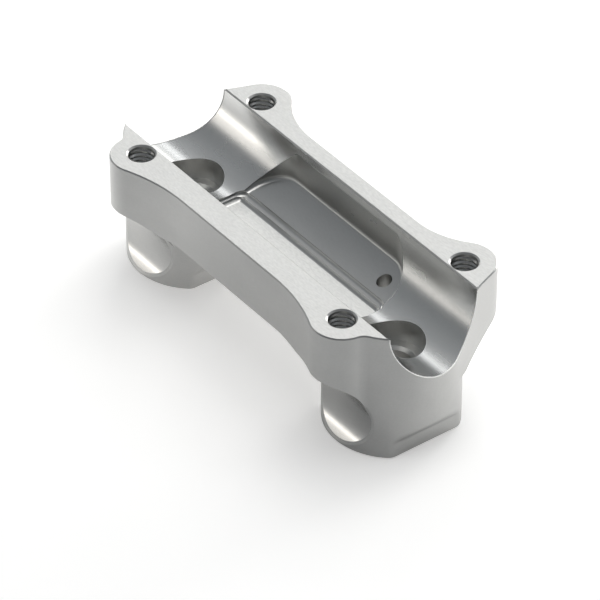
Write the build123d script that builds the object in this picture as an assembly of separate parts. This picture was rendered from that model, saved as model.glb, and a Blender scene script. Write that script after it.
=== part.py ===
from build123d import *
import math
import os

os.makedirs("parts", exist_ok=True)

# A lower handlebar mount, milled from one billet.
# X runs along the bar, Y across it and Z up, in millimetres.
# The origin is on the floor under the bar's axis, midway between the two feet.

# Driving dimensions
bar_diameter = 28.6
body_height = 36.7
column_spacing = 82.4
column_offset = -3.25
column_radius = 17.1
clamp_bolt_spread = 37.0
boss_radius = 8.0

# The rails on each side of the channel
near_wall = 22.0
far_wall = 19.4
near_blend_radius = 48.0
far_blend_radius = 22.0
horn_blend_radius = 90.0
nose_blend_radius = 3.0

# The underside
bridge_depth = 21.5
far_slope = 28.0
far_slope_start_depth = 12.5
near_slope = 28.0
near_slope_depth = 15.4
near_relief_half = 21.5
near_relief_ramp = 7.0
near_relief_drop = 1.0
scoop_radius = 13.0
scoop_bite = 3.35
scoop_lip_height = 1.1892
scoop_edge = 0.5

# The feet
foot_across_flats = 27.6
flat_height = 4.8
flat_root_radius = 2.0
flat_corner_radius = 3.0
foot_edge = 0.4

# Holes
bolt_hole_diameter = 10.4
bolt_hole_chamfer = 0.8
counterbore_diameter = 16.2
counterbore_depth = 20.1
clamp_thread_minor = 6.8
clamp_thread_chamfer = 0.4
clamp_thread_depth = 13.0
drill_point_angle = 118.0
drain_diameter = 3.9
drain_x = 22.2
drain_y = 8.9

# The pocket between the saddles
pocket_length = 57.6
pocket_width = 28.3
pocket_corner_radius = 9.0
pocket_wall_depth = 10.5
pocket_floor_radius = 25.0
pocket_root_radius = 1.3
shelf_length = 59.4
shelf_far_edge = 4.8
shelf_depth = 15.2
shelf_corner_radius = 3.4
shelf_root_radius = 1.1
slot_length = 58.4
slot_far_edge = 3.15
slot_depth = 16.0
slot_root_radius = 1.6

# Broken edges
top_edge = 0.3
channel_edge = 0.35

channel_radius = bar_diameter / 2
column_x = column_spacing / 2
boss_y = clamp_bolt_spread / 2
half_length = column_x + column_radius
slack = 1.0
tolerance = 0.01


def at_depth(depth):
    """Height above the floor of a point that lies this far below the top face."""
    return body_height - depth


def along(centre, towards, distance):
    """Point at this distance from the centre, on the way to another point."""
    return centre + (towards - centre).normalized() * distance


def meeting_point(centre_a, reach_a, centre_b, reach_b, side):
    """Point at given distances from two centres, on one side of the line between them."""
    span = centre_b - centre_a
    gap = span.length
    run = (reach_a**2 - reach_b**2 + gap**2) / (2 * gap)
    rise = math.sqrt(reach_a**2 - run**2)
    unit = span.normalized()
    return centre_a + unit * run + Vector(-unit.Y, unit.X) * rise * side


def rail_blend_centre(boss, wall, radius, side):
    """Centre of the concave arc that joins a straight rail wall to a boss."""
    centre_y = side * (wall + radius)
    run = math.sqrt((boss_radius + radius) ** 2 - (boss.Y - centre_y) ** 2)
    return Vector(boss.X - run, centre_y)


def arc_about(centre, radius, start, end):
    """Arc round a centre, the short way from start to end."""
    middle = centre + ((start - centre) + (end - centre)).normalized() * radius
    return ThreePointArc(start, middle, end)


def plan_outline():
    """Outline of the body seen from above, with both halves the same."""
    column = Vector(column_x, column_offset)
    far_boss = Vector(column_x, boss_y)
    near_boss = Vector(column_x, -boss_y)

    far_blend = rail_blend_centre(far_boss, far_wall, far_blend_radius, 1)
    horn_blend = meeting_point(
        column,
        column_radius + horn_blend_radius,
        far_boss,
        boss_radius + horn_blend_radius,
        -1,
    )
    nose_blend = meeting_point(
        column,
        column_radius + nose_blend_radius,
        near_boss,
        boss_radius + nose_blend_radius,
        1,
    )
    near_blend = rail_blend_centre(near_boss, near_wall, near_blend_radius, -1)

    far_middle = Vector(0, far_wall)
    far_start = Vector(far_blend.X, far_wall)
    far_end = along(far_boss, far_blend, boss_radius)
    horn_start = along(far_boss, horn_blend, boss_radius)
    horn_end = along(column, horn_blend, column_radius)
    nose_start = along(column, nose_blend, column_radius)
    nose_end = along(near_boss, nose_blend, boss_radius)
    near_start = along(near_boss, near_blend, boss_radius)
    near_end = Vector(near_blend.X, -near_wall)
    near_middle = Vector(0, -near_wall)

    half = [
        Line(far_middle, far_start),
        arc_about(far_blend, far_blend_radius, far_start, far_end),
        arc_about(far_boss, boss_radius, far_end, horn_start),
        arc_about(horn_blend, horn_blend_radius, horn_start, horn_end),
        arc_about(column, column_radius, horn_end, nose_start),
        arc_about(nose_blend, nose_blend_radius, nose_start, nose_end),
        arc_about(near_boss, boss_radius, nose_end, near_start),
        arc_about(near_blend, near_blend_radius, near_start, near_end),
        Line(near_end, near_middle),
    ]
    right = make_face(Curve() + half + Line(near_middle, far_middle))
    return right + mirror(right, Plane.YZ)


def cross_section(points):
    """Closed outline in the plane across the bar, from (y, height) pairs."""
    return make_face(Plane.YZ * Polyline(*points, close=True))


def far_underside():
    """What is cut away below the slope under the far rail."""
    fall = math.tan(math.radians(far_slope))
    edge = boss_y + boss_radius
    high = at_depth(far_slope_start_depth)
    low = at_depth(bridge_depth)
    outline = [
        (edge + slack, high + slack * fall),
        (edge - (high - low) / fall, low),
        (edge - (high - low) / fall, -slack),
        (edge + slack, -slack),
    ]
    return extrude(cross_section(outline), half_length + slack, both=True)


def near_underside():
    """What is cut away below the shallow arch under the near rail."""
    high = at_depth(near_slope_depth)
    low = high - near_relief_drop
    wide = near_relief_half + near_relief_ramp
    arch = make_face(
        Plane.XZ.offset(near_wall)
        * Polyline(
            (-wide, low),
            (-near_relief_half, high),
            (near_relief_half, high),
            (wide, low),
            (wide, -body_height),
            (-wide, -body_height),
            close=True,
        )
    )
    fall = math.tan(math.radians(near_slope))
    inward = Vector(0, 1, -fall)
    reach = (bridge_depth - near_slope_depth) / fall
    cut = extrude(arch, reach * inward.length, dir=inward)
    cut += extrude(arch, 2 * slack, dir=inward * -1)
    return cut


def upper_body():
    """The rails, bosses and bridge, without the columns below them."""
    block = Pos(0, 0, at_depth(bridge_depth)) * extrude(plan_outline(), bridge_depth)
    block = chamfer(block.faces().sort_by(Axis.Z)[-1].outer_wire().edges(), top_edge)
    return block - far_underside() - near_underside()


def both_ends(shape):
    """The same shape at each of the two columns."""
    right = Pos(column_x, column_offset, 0) * shape
    return right + mirror(right, Plane.YZ)


def flats():
    """What is cut away beside the two flats on the lower part of a column."""
    across = foot_across_flats / 2
    step = column_radius - across + slack
    profile = Plane.XZ * Polyline(
        (across, -slack),
        (across, flat_height),
        (across + step, flat_height + step),
        (across + step, -slack),
        close=True,
    )
    face = make_face(profile)
    root = face.vertices().sort_by_distance((across, 0, flat_height))[0]
    outer = extrude(fillet(root, flat_root_radius), column_radius, both=True)
    return outer + mirror(outer, Plane.YZ)


def scoop():
    """The long concave cut under the near bosses and into the near side of the columns."""
    inward = scoop_radius - scoop_bite
    rise = math.sqrt(scoop_radius**2 - inward**2)
    near_side = column_offset - column_radius
    return Pos(0, near_side - inward, scoop_lip_height + rise) * Cylinder(
        scoop_radius, 2 * (half_length + slack), rotation=(0, 90, 0)
    )


def lower_columns():
    """The columns below the bridge, with the edges broken where the scoop runs out of them."""
    column = extrude(Circle(column_radius), at_depth(bridge_depth))
    columns = both_ends(column) - scoop()
    rounds = columns.faces().filter_by(GeomType.CYLINDER)
    scooped = [face for face in rounds if abs(face.radius - scoop_radius) < tolerance]
    lips = [face.edges().sort_by(Axis.Z)[0] for face in scooped]
    return chamfer(lips, scoop_edge)


def outer_form():
    """The body from outside, before its channel, pocket and holes are cut."""
    neck = extrude(Circle(column_radius), bridge_depth - near_slope_depth)
    upper = upper_body() + both_ends(Pos(0, 0, at_depth(bridge_depth)) * neck) - scoop()
    body = upper + lower_columns() - both_ends(flats())
    uprights = body.edges().filter_by(Axis.Z)
    corners = [edge for edge in uprights if edge.bounding_box().min.Z < tolerance]
    body = fillet(corners, flat_corner_radius)
    soles = body.faces().sort_by(Axis.Z)[:2]
    return chamfer([edge for sole in soles for edge in sole.edges()], foot_edge)


def channel():
    """The half-round channel that the bar lies in."""
    bar = Pos(0, 0, body_height) * Cylinder(
        channel_radius, 2 * (half_length + slack), rotation=(0, 90, 0)
    )
    wide = channel_radius + channel_edge
    edge = cross_section(
        [
            (-wide - slack, body_height + slack),
            (wide + slack, body_height + slack),
            (wide - channel_edge, body_height - channel_edge),
            (-wide + channel_edge, body_height - channel_edge),
        ]
    )
    return bar + extrude(edge, half_length + slack, both=True)


def bolt_hole():
    """Counterbore and through hole for one of the bolts that hold the mount down."""
    floor = at_depth(counterbore_depth)
    hole_radius = bolt_hole_diameter / 2
    bore = Pos(0, 0, floor) * extrude(Circle(counterbore_diameter / 2), counterbore_depth)
    hole = Pos(0, 0, -slack) * extrude(Circle(hole_radius), body_height)
    rim = Pos(0, 0, floor - bolt_hole_chamfer / 2) * Cone(
        hole_radius, hole_radius + bolt_hole_chamfer, bolt_hole_chamfer
    )
    return bore + hole + rim


def clamp_hole():
    """Tapping hole for one of the upper clamp's bolts, with its broken edge."""
    radius = clamp_thread_minor / 2
    point = radius / math.tan(math.radians(drill_point_angle / 2))
    hole = Pos(0, 0, -clamp_thread_depth) * extrude(Circle(radius), clamp_thread_depth)
    hole += Pos(0, 0, -clamp_thread_depth - point / 2) * Cone(0, radius, point)
    rim = Pos(0, 0, -clamp_thread_chamfer / 2) * Cone(
        radius, radius + clamp_thread_chamfer, clamp_thread_chamfer
    )
    return hole + rim


def groove(length, width, depth, corner_radius, root_radius):
    """Cutting shape with round corners and a rounded root, down to a depth below the top."""
    cut = extrude(RectangleRounded(length, width, corner_radius), depth)
    cut = fillet(cut.faces().sort_by(Axis.Z)[0].edges(), root_radius)
    return Pos(0, 0, at_depth(depth)) * cut


def pocket():
    """The wide pocket between the saddles, whose floor is hollow across the bar."""
    outline = RectangleRounded(pocket_length, pocket_width, pocket_corner_radius)
    rise = math.sqrt(pocket_floor_radius**2 - (pocket_width / 2) ** 2)
    cut = extrude(outline, body_height)
    cut &= Pos(0, 0, at_depth(pocket_wall_depth) + rise) * Cylinder(
        pocket_floor_radius, pocket_length + slack, rotation=(0, 90, 0)
    )
    floor = cut.faces().sort_by(Axis.Z)[0]
    return fillet(floor.edges(), pocket_root_radius)


def slot():
    """The narrower slot along the middle of the pocket, cut in two steps."""
    shelf_width = 2 * (shelf_far_edge - column_offset)
    slot_width = 2 * (slot_far_edge - column_offset)
    corner = shelf_corner_radius - (shelf_width - slot_width) / 2
    cut = groove(shelf_length, shelf_width, shelf_depth, shelf_corner_radius, shelf_root_radius)
    return cut + groove(slot_length, slot_width, slot_depth, corner, slot_root_radius)


def mount_body():
    """The whole mount, as one solid."""
    body = outer_form()
    body -= channel()
    body -= both_ends(bolt_hole())
    body -= pocket()
    body -= Pos(0, column_offset) * slot()
    for x in (-column_x, column_x):
        for y in (-boss_y, boss_y):
            body -= Pos(x, y, body_height) * clamp_hole()
    body -= Pos(drain_x, drain_y, 0) * extrude(Circle(drain_diameter / 2), body_height)
    return body


export_step(mount_body(), "parts/mount_body.step")
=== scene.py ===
import math

import bmesh
import bpy
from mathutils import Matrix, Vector


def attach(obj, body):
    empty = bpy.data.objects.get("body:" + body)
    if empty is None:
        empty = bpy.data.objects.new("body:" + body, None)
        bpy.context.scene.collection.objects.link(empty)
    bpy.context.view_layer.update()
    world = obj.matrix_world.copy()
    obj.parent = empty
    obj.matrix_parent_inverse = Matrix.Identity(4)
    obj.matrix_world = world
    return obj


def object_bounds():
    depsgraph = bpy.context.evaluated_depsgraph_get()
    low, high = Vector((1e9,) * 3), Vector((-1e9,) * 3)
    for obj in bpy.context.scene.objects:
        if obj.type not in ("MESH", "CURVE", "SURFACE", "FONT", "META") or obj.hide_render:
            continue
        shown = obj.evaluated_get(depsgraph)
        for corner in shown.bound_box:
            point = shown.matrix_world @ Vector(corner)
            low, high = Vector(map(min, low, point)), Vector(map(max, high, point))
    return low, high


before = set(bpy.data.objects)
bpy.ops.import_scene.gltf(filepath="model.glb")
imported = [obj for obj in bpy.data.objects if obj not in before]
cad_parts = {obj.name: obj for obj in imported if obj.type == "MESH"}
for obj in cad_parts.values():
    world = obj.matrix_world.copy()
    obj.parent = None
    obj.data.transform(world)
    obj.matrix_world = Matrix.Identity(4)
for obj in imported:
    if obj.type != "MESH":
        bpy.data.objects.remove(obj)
cad_low, cad_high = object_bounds()
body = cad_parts["mount_body"]
top = cad_high.z

# The part's own places and sizes, in metres
boss_x = 0.0412
boss_y = 0.0185
column_y = -0.00325
counterbore_radius = 0.0081
channel_radius = 0.0143
pocket_half_length = 0.0298
pocket_half_width = 0.01417
slot_floor_depth = 0.016
scoop_axis_y = -0.030
scoop_axis_depth = 0.0268
scoop_radius = 0.013
# How far past a surface its mask reaches
clearance = 0.00006
# A face is level or upright by how much of its normal points up
level_from = 0.97
upright_up_to = 0.02
# The strip on the channel's end edges, whose metal is painted bright as a highlight
edge_strip_radius = 0.00014
edge_strip_sides = 8
weld_distance = 0.000001

# The clamp bolts' threads, as ridges on the wall of each tapping hole; heights and half widths
# are along the hole
thread_pitch = 0.00125
thread_root_radius = 0.00341
thread_crest_radius = 0.00300
thread_root_half = 0.00056
thread_crest_half = 0.00012
thread_start_depth = 0.0009
thread_end_depth = 0.0118
thread_steps = 48

# The camera, fitted to the photograph; azimuth 0 is at -Y and 90 at +X
camera_azimuth = 53.28
camera_elevation = 38.11
camera_distance = 1.0566
camera_target = Vector((0.02953, -0.02218, top))
camera_lens = 266.62
sensor_width = 36.0
camera_clip_start = 0.01

# The studio: softboxes as (azimuth, elevation, distance, width, height, radiance, colour)
softboxes = {
    "left": (-43, 11.5, 1.3, 0.5, 0.52, 1.35, (1.0, 0.955, 0.90)),
    "left_strip": (-40, 3.0, 1.25, 0.45, 0.13, 2.6, (1.0, 0.955, 0.90)),
    "left_rear": (-105, 12, 1.3, 0.5, 0.4, 7.5, (1.0, 0.985, 0.96)),
    "rear_low": (-135, 12, 1.3, 0.5, 0.4, 2.5, (1.0, 0.985, 0.96)),
    "rear": (-168, 11, 1.3, 0.6, 0.4, 9.0, (1.0, 0.985, 0.96)),
    "rear_high": (-150, 65, 1.3, 0.6, 0.6, 2.7, (1.0, 0.985, 0.96)),
    "rear_right": (150, 48, 1.3, 0.35, 0.35, 2.0, (1.0, 0.985, 0.96)),
    "top": (0, 89, 1.3, 0.8, 0.8, 1.4, (1.0, 0.985, 0.96)),
    "back_mirror": (-129, 36, 1.3, 0.26, 0.3, 2.0, (0.98, 0.99, 1.0)),
}
# The sky's strength runs from bright to dark towards its dark side
sky_colour = (0.29, 0.305, 0.32)
sky_dark_azimuth = 40
sky_bright = 1.55
sky_dark = 0.32
# The floor; the lift makes it white for the camera, and the glow is what metal sees of it, which
# grows in strength along the direction (x, y) over the range of distances from the origin
floor_half = 3.0
floor_height = -0.0001
floor_colour = (0.92, 0.92, 0.92)
floor_lift = 0.38
glow_colour = (1.0, 0.985, 0.965)
glow_uphill = (-0.35, 0.94)
glow_range = (-0.045, 0.020)
glow_strength = (0.0, 0.55)

# Each kind of surface, as (brightness, roughness); the roughness is its finish, and the brightness
# is painted light and shade on one metal: painted shade in the pocket and flutes, painted light on
# the channel, counterbore, top and slot, and a painted highlight on the end edges
wall_finish = (0.51, 0.35)
pocket_shade_and_finish = (0.47, 0.28)
bore_light_and_finish = (0.60, 0.27)
scoop_shade_and_finish = (0.47, 0.22)
counterbore_light_and_finish = (0.62, 0.34)
brushed_light_and_finish = (0.65, 0.60)
slot_light_and_finish = (0.86, 0.60)
thread_finish = (0.55, 0.25)
edge_highlight_and_finish = (0.95, 0.5)
# The metal's blue, as a share of its red and green
blue_share = 0.98
# Mottling: size of its grains, how far they are drawn out along X, and depth
cloud = (0.006, 3.0, 0.06)
speck = (0.0004, 3.0)
speck_depth = 0.06
brushed_speck_depth = 0.16
mottle_detail = 3.0


def direction(azimuth, elevation):
    """Unit vector outwards from the object, from angles in degrees."""
    turn, rise = math.radians(azimuth), math.radians(elevation)
    flat = math.cos(rise)
    return Vector((math.sin(turn) * flat, -math.cos(turn) * flat, math.sin(rise)))


def add(name, data):
    """A new object in the scene."""
    thing = bpy.data.objects.new(name, data)
    bpy.context.scene.collection.objects.link(thing)
    return thing


def aim(thing, towards):
    """Turns a camera or lamp so that it looks along a direction."""
    thing.rotation_mode = "QUATERNION"
    thing.rotation_quaternion = towards.to_track_quat("-Z", "Y")


def make_camera():
    """The camera that took the photograph."""
    camera = add("camera", bpy.data.cameras.new("camera"))
    camera.data.sensor_width = sensor_width
    camera.data.lens = camera_lens
    camera.data.clip_start = camera_clip_start
    outwards = direction(camera_azimuth, camera_elevation)
    camera.location = camera_target + outwards * camera_distance
    aim(camera, -outwards)
    bpy.context.scene.camera = camera


def make_softbox(name, azimuth, elevation, distance, width, height, radiance, colour):
    """An area lamp that faces the object; its power follows from its radiance and size."""
    lamp = bpy.data.lights.new(name, "AREA")
    lamp.shape = "RECTANGLE"
    lamp.size = width
    lamp.size_y = height
    lamp.energy = radiance * width * height * math.pi
    lamp.color = colour
    outwards = direction(azimuth, elevation)
    box = add(name, lamp)
    box.location = outwards * distance
    aim(box, -outwards)


def make_world():
    """A plain sky that is darker on the camera's side."""
    world = bpy.data.worlds.new("studio")
    world.use_nodes = True
    tree = world.node_tree
    background = tree.nodes["Background"]
    background.inputs["Color"].default_value = (*sky_colour, 1.0)
    side = tree.nodes.new("ShaderNodeVectorMath")
    side.operation = "DOT_PRODUCT"
    side.inputs[1].default_value = direction(sky_dark_azimuth, 0)
    place = tree.nodes.new("ShaderNodeTexCoord")
    tree.links.new(place.outputs["Generated"], side.inputs[0])
    ramp = tree.nodes.new("ShaderNodeMapRange")
    ramp.inputs["From Min"].default_value = -1.0
    ramp.inputs["To Min"].default_value = sky_bright
    ramp.inputs["To Max"].default_value = sky_dark
    tree.links.new(side.outputs["Value"], ramp.inputs["Value"])
    tree.links.new(ramp.outputs["Result"], background.inputs["Strength"])
    bpy.context.scene.world = world


class Graph:
    """Short names for making the nodes of one material."""

    def __init__(self, name):
        self.material = bpy.data.materials.new(name)
        self.material.use_nodes = True
        self.tree = self.material.node_tree
        self.shader = self.tree.nodes["Principled BSDF"]

    def node(self, kind):
        return self.tree.nodes.new(kind)

    def link(self, source, target):
        self.tree.links.new(source, target)

    def math(self, operation, *values):
        """A math node on numbers and sockets."""
        node = self.node("ShaderNodeMath")
        node.operation = operation
        for socket, value in zip(node.inputs, values):
            if isinstance(value, (int, float)):
                socket.default_value = value
            else:
                self.link(value, socket)
        return node.outputs[0]

    def both(self, first, *others):
        """1 where all of the masks are 1."""
        for other in others:
            first = self.math("MULTIPLY", first, other)
        return first

    def between(self, value, low, high):
        """1 where a value lies between two numbers."""
        above = self.math("GREATER_THAN", value, low)
        return self.both(above, self.math("LESS_THAN", value, high))

    def choose(self, value, pairs):
        """A number that each mask in turn replaces with its own."""
        for mask, other in pairs:
            node = self.node("ShaderNodeMix")
            self.link(mask, node.inputs["Factor"])
            if isinstance(value, float):
                node.inputs["A"].default_value = value
            else:
                self.link(value, node.inputs["A"])
            node.inputs["B"].default_value = other
            value = node.outputs["Result"]
        return value

    def mottle(self, size, stretch, depth):
        """A factor about 1 that follows noise, drawn out along X."""
        place = self.node("ShaderNodeMapping")
        place.inputs["Scale"].default_value = (1.0 / stretch, 1.0, 1.0)
        self.link(self.node("ShaderNodeTexCoord").outputs["Object"], place.inputs["Vector"])
        noise = self.node("ShaderNodeTexNoise")
        noise.inputs["Scale"].default_value = 1.0 / size
        noise.inputs["Detail"].default_value = mottle_detail
        self.link(place.outputs["Vector"], noise.inputs["Vector"])
        swing = self.math("MULTIPLY", self.math("SUBTRACT", noise.outputs[0], 0.5), depth)
        return self.math("ADD", self.math("MULTIPLY", swing, 2.0), 1.0)

    def distance(self, first, second, at_first, at_second):
        """Distance from a line along X, in the plane across it."""
        across = self.math("POWER", self.math("SUBTRACT", first, at_first), 2.0)
        upright = self.math("POWER", self.math("SUBTRACT", second, at_second), 2.0)
        return self.math("SQRT", self.math("ADD", across, upright))


def make_floor():
    """A white ground that keeps the object's shadow and shows in its metal as a graded glow."""
    mesh = bpy.data.meshes.new("floor")
    corners = [
        (-floor_half, -floor_half, 0),
        (floor_half, -floor_half, 0),
        (floor_half, floor_half, 0),
        (-floor_half, floor_half, 0),
    ]
    mesh.from_pydata(corners, [], [(0, 1, 2, 3)])
    floor = add("floor", mesh)
    floor.location.z = floor_height
    graph = Graph("floor")
    shader = graph.shader
    shader.inputs["Base Color"].default_value = (*floor_colour, 1.0)
    shader.inputs["Roughness"].default_value = 1.0
    shader.inputs["Specular IOR Level"].default_value = 0.0
    place = graph.node("ShaderNodeSeparateXYZ")
    graph.link(graph.node("ShaderNodeTexCoord").outputs["Object"], place.inputs[0])
    uphill = graph.math(
        "ADD",
        graph.math("MULTIPLY", place.outputs["X"], glow_uphill[0]),
        graph.math("MULTIPLY", place.outputs["Y"], glow_uphill[1]),
    )
    ramp = graph.node("ShaderNodeMapRange")
    graph.link(uphill, ramp.inputs["Value"])
    for socket, value in zip(("From Min", "From Max"), glow_range):
        ramp.inputs[socket].default_value = value
    for socket, value in zip(("To Min", "To Max"), glow_strength):
        ramp.inputs[socket].default_value = value
    path = graph.node("ShaderNodeLightPath")
    glossy, through = path.outputs["Is Glossy Ray"], path.outputs["Is Transmission Ray"]
    mirrored = graph.math("MAXIMUM", glossy, through)
    mirrored = graph.math("MULTIPLY", mirrored, ramp.outputs["Result"])
    direct = graph.math("MULTIPLY", path.outputs["Is Camera Ray"], floor_lift)
    shader.inputs["Emission Color"].default_value = (*glow_colour, 1.0)
    graph.link(graph.math("MAXIMUM", mirrored, direct), shader.inputs["Emission Strength"])
    mesh.materials.append(graph.material)


def make_metal():
    """One metal, whose roughness follows how each kind of surface was cut and whose brightness is
    painted light and shade per kind of surface.
    """
    graph = Graph("machined_aluminium")
    shader = graph.shader
    shader.inputs["Metallic"].default_value = 1.0
    normal = graph.node("ShaderNodeSeparateXYZ")
    graph.link(graph.node("ShaderNodeNewGeometry").outputs["Normal"], normal.inputs[0])
    place = graph.node("ShaderNodeSeparateXYZ")
    graph.link(graph.node("ShaderNodeTexCoord").outputs["Object"], place.inputs[0])
    x, y, z = (place.outputs[axis] for axis in "XYZ")

    level = graph.math("GREATER_THAN", normal.outputs["Z"], level_from)
    on_top = graph.both(level, graph.math("GREATER_THAN", z, top - clearance))
    inside = graph.both(
        graph.between(x, -pocket_half_length, pocket_half_length),
        graph.between(y, -pocket_half_width, pocket_half_width),
        graph.math("GREATER_THAN", z, top - slot_floor_depth - clearance),
    )
    slot_high = top - slot_floor_depth + clearance
    in_slot = graph.both(level, inside, graph.math("LESS_THAN", z, slot_high))
    reach = graph.distance(y, z, 0.0, top)
    on_bore = graph.between(reach, channel_radius - 3 * clearance, channel_radius + clearance)
    hole_reach = graph.distance(graph.math("ABSOLUTE", x), y, boss_x, column_y)
    in_counterbore = graph.math("LESS_THAN", hole_reach, counterbore_radius + clearance)
    scoop_reach = graph.distance(y, z, scoop_axis_y, top - scoop_axis_depth)
    on_scoop = graph.math("LESS_THAN", scoop_reach, scoop_radius + clearance)

    # Painted shade darkens the pocket and flutes, and painted light brightens the counterbore,
    # channel, top and slot
    masks = (
        (in_counterbore, counterbore_light_and_finish),
        (inside, pocket_shade_and_finish),
        (on_bore, bore_light_and_finish),
        (on_scoop, scoop_shade_and_finish),
        (on_top, brushed_light_and_finish),
        (in_slot, slot_light_and_finish),
    )
    brightness, roughness = (
        graph.choose(wall_finish[i], [(mask, shading_and_finish[i]) for mask, shading_and_finish in masks]) for i in (0, 1)
    )
    depth = graph.choose(
        speck_depth, [(on_top, brushed_speck_depth), (in_slot, brushed_speck_depth)]
    )
    clouds = graph.mottle(*cloud)
    brightness = graph.both(brightness, clouds, graph.mottle(*speck, depth))
    roughness = graph.both(roughness, clouds)
    colour = graph.node("ShaderNodeCombineColor")
    graph.link(brightness, colour.inputs["Red"])
    graph.link(brightness, colour.inputs["Green"])
    graph.link(graph.math("MULTIPLY", brightness, blue_share), colour.inputs["Blue"])
    graph.link(colour.outputs["Color"], shader.inputs["Base Color"])
    graph.link(roughness, shader.inputs["Roughness"])

    for slot in body.material_slots:
        slot.material = graph.material


def make_plain_metal(name, shading_and_finish):
    """A metal of one brightness and roughness all over; on the end edges its brightness is a
    painted highlight.
    """
    graph = Graph(name)
    grey, roughness = shading_and_finish
    colour = (grey, grey, grey * blue_share, 1.0)
    graph.shader.inputs["Base Color"].default_value = colour
    graph.shader.inputs["Metallic"].default_value = 1.0
    graph.shader.inputs["Roughness"].default_value = roughness
    return graph.material


def make_thread(name, x, y, material):
    """A right-handed helical ridge on the wall of one tapping hole."""
    profile = [
        (thread_root_radius, thread_root_half),
        (thread_crest_radius, thread_crest_half),
        (thread_crest_radius, -thread_crest_half),
        (thread_root_radius, -thread_root_half),
    ]
    count = round((thread_end_depth - thread_start_depth) / thread_pitch * thread_steps)
    shape = bmesh.new()
    rings = []
    for step in range(count + 1):
        angle = -math.tau * step / thread_steps
        height = top - thread_start_depth - thread_pitch * step / thread_steps
        fade = min(1.0, step / thread_steps, (count - step) / thread_steps)
        ring = []
        for radius, offset in profile:
            radius = thread_root_radius + (radius - thread_root_radius) * fade
            spot = (x + radius * math.cos(angle), y + radius * math.sin(angle), height + offset)
            ring.append(shape.verts.new(spot))
        rings.append(ring)
    size = len(profile)
    for before, after in zip(rings, rings[1:]):
        for i in range(size):
            j = (i + 1) % size
            shape.faces.new((before[i], before[j], after[j], after[i]))
    bmesh.ops.recalc_face_normals(shape, faces=shape.faces[:])
    mesh = bpy.data.meshes.new(name)
    shape.to_mesh(mesh)
    shape.free()
    mesh.materials.append(material)
    piece = add(name, mesh)
    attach(piece, "root")


def make_end_edges(material):
    """A fine rounded strip along the edge where the channel runs out of each end, in a metal
    painted bright as a highlight.
    """
    source = bmesh.new()
    source.from_mesh(body.data)
    bmesh.ops.remove_doubles(source, verts=source.verts[:], dist=weld_distance)
    shape = bmesh.new()
    for edge in source.edges:
        if len(edge.link_faces) != 2:
            continue
        first, second = (vert.co for vert in edge.verts)
        reaches = [math.hypot(spot.y, spot.z - top) for spot in (first, second)]
        on_channel = all(abs(reach - channel_radius) < 2 * clearance for reach in reaches)
        past_holes = min(abs(first.x), abs(second.x)) > boss_x + counterbore_radius
        upright = [abs(face.normal.z) < upright_up_to for face in edge.link_faces]
        if on_channel and past_holes and any(upright) and not all(upright):
            strip = bmesh.ops.create_cone(
                shape,
                segments=edge_strip_sides,
                radius1=edge_strip_radius,
                radius2=edge_strip_radius,
                depth=(second - first).length,
            )
            turn = (second - first).to_track_quat("Z", "Y").to_matrix().to_4x4()
            turn.translation = (first + second) / 2
            bmesh.ops.transform(shape, matrix=turn, verts=strip["verts"])
    source.free()
    mesh = bpy.data.meshes.new("channel_end_edges")
    shape.to_mesh(mesh)
    shape.free()
    mesh.materials.append(material)
    piece = add("channel_end_edges", mesh)
    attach(piece, "root")


make_camera()
make_world()
for name, settings in softboxes.items():
    make_softbox(name, *settings)
make_floor()
make_metal()
# The end edge strips get a metal painted bright as a highlight
make_end_edges(make_plain_metal("edge_highlight_aluminium", edge_highlight_and_finish))
thread_metal = make_plain_metal("thread_aluminium", thread_finish)
for number, (side_x, side_y) in enumerate(((-1, -1), (-1, 1), (1, -1), (1, 1)), 1):
    make_thread(f"thread_{number}", side_x * boss_x, side_y * boss_y, thread_metal)

bpy.context.scene.view_settings.view_transform = "Standard"
